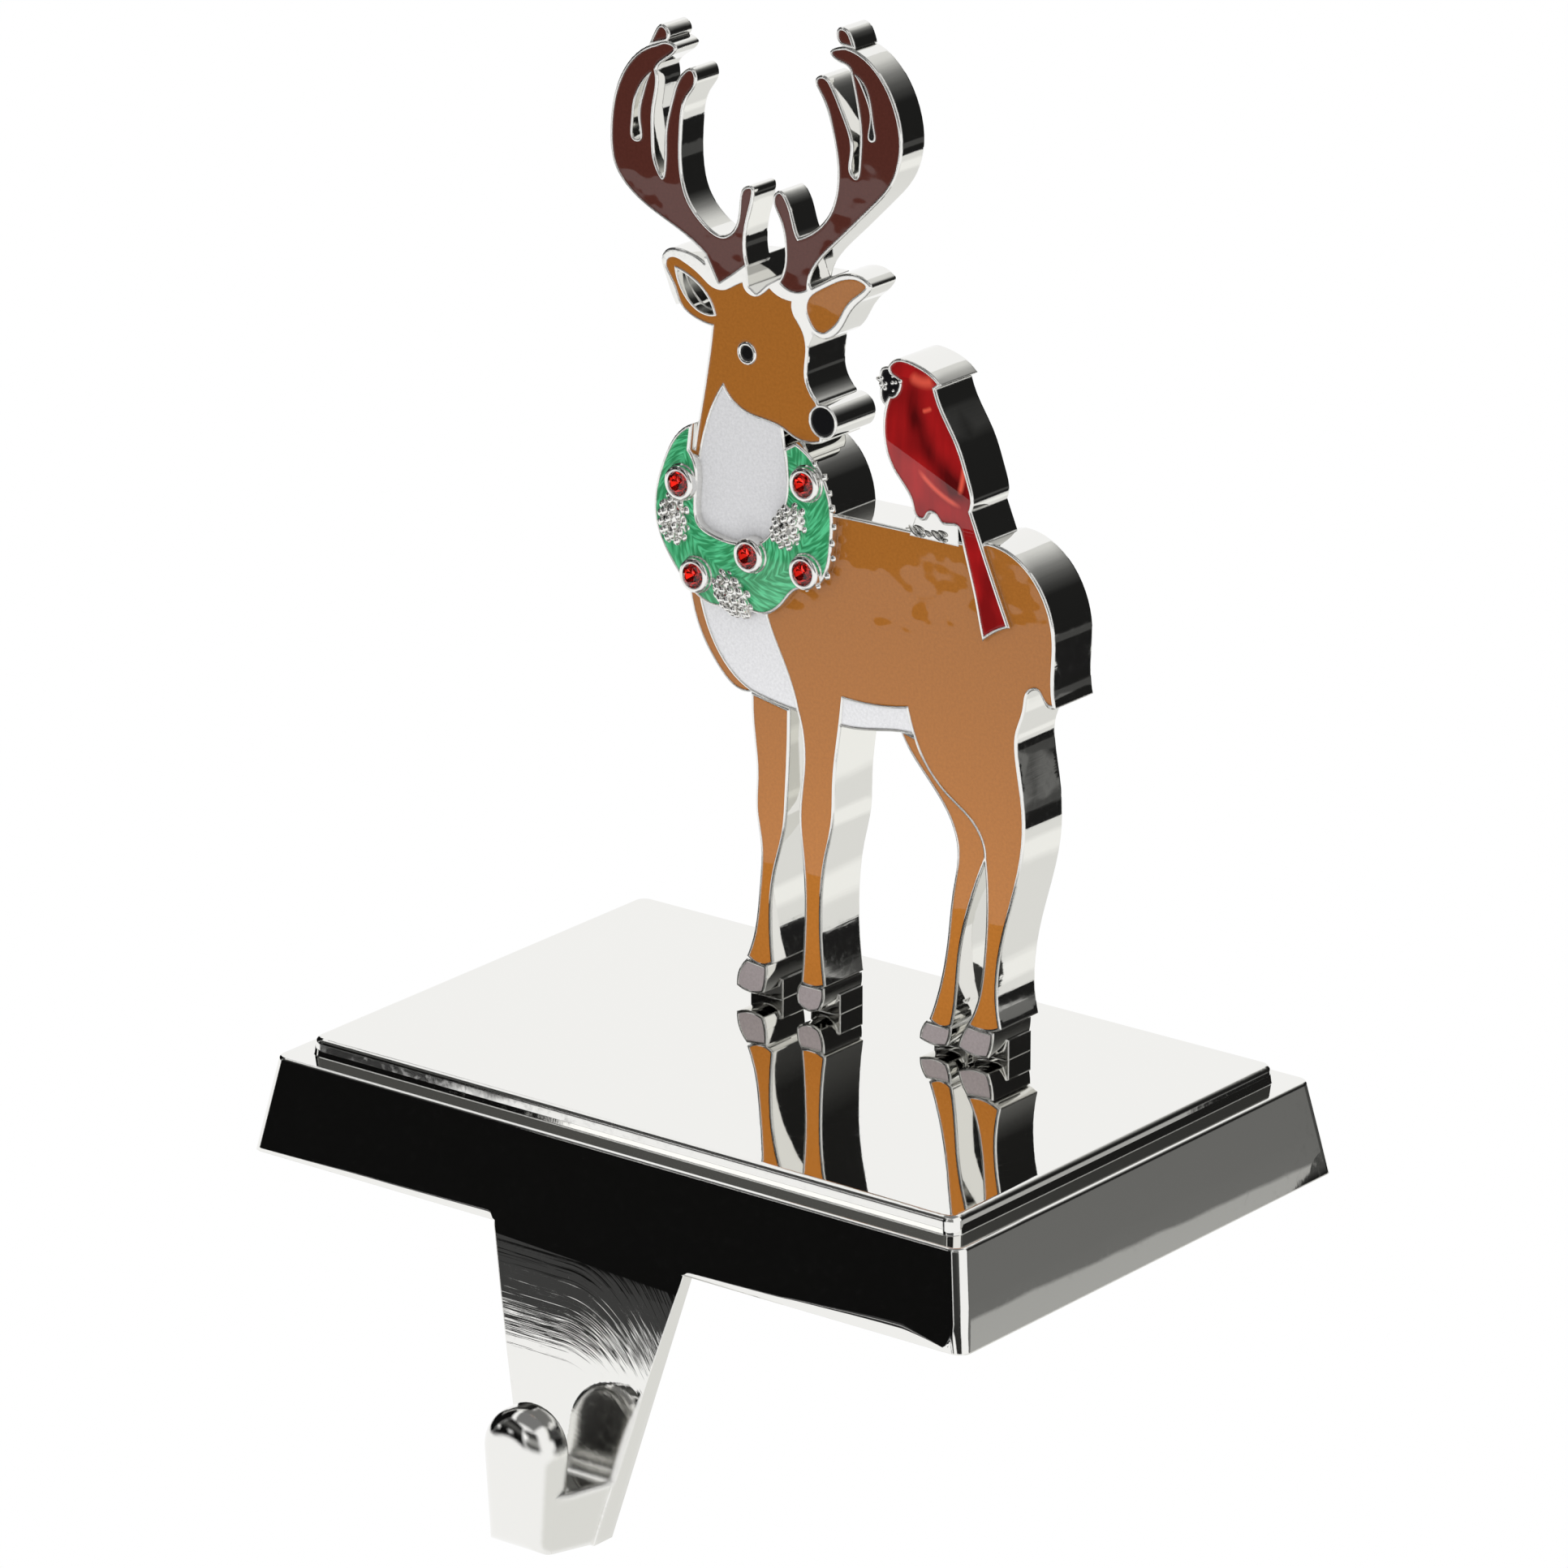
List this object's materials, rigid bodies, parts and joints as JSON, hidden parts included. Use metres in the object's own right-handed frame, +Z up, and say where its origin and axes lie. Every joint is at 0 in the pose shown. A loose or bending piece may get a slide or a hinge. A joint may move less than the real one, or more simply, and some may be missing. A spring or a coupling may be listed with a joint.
{
  "type": "mantel stocking holder",
  "caption": "Weighted two-tier base with a cast front hook for a stocking, topped by a flat enamelled reindeer with a jewelled wreath and a bird.",
  "frame": {"origin": "middle of the non-slip pad's underside, where it stands on the shelf", "axes": "+X to the right as seen from the front, +Y from the hook to the back, +Z up"},
  "size_m": [0.1106, 0.0921, 0.1783],
  "materials": {
    "silver_plating": "polished nickel plating on cast zinc",
    "pad_rubber": "matt foam rubber",
    "screw_steel": "zinc-plated steel",
    "tan_enamel": "gloss cold enamel, tan",
    "dark_brown_enamel": "gloss cold enamel, dark brown",
    "white_enamel": "gloss cold enamel, white",
    "grey_enamel": "gloss cold enamel, grey",
    "black_enamel": "gloss cold enamel, black",
    "red_enamel": "translucent gloss enamel, red",
    "green_enamel": "translucent gloss enamel over engraved needles, green",
    "red_stone": "faceted red glass"
  },
  "bodies": {
    "root": {"base_with_hook": "silver_plating", "deer_casting": "silver_plating", "non_slip_pad": "pad_rubber", "figure_screws": "screw_steel", "left_antler_enamel": "dark_brown_enamel", "right_antler_enamel": "dark_brown_enamel", "head_enamel": "tan_enamel", "right_ear_enamel": "tan_enamel", "nose_enamel": "black_enamel", "eye_enamel": "black_enamel", "throat_enamel": "white_enamel", "chest_edge_enamel": "tan_enamel", "chest_enamel": "white_enamel", "body_enamel": "tan_enamel", "belly_enamel": "white_enamel", "far_front_leg_enamel": "tan_enamel", "far_rear_leg_enamel": "tan_enamel", "hoof_enamel": "grey_enamel", "bird_enamel": "red_enamel", "bird_mask_enamel": "black_enamel", "wreath_enamel": "green_enamel", "wreath_stone_1": "red_stone", "wreath_stone_2": "red_stone", "wreath_stone_3": "red_stone", "wreath_stone_4": "red_stone", "wreath_stone_5": "red_stone"}
  },
  "joints": []
}
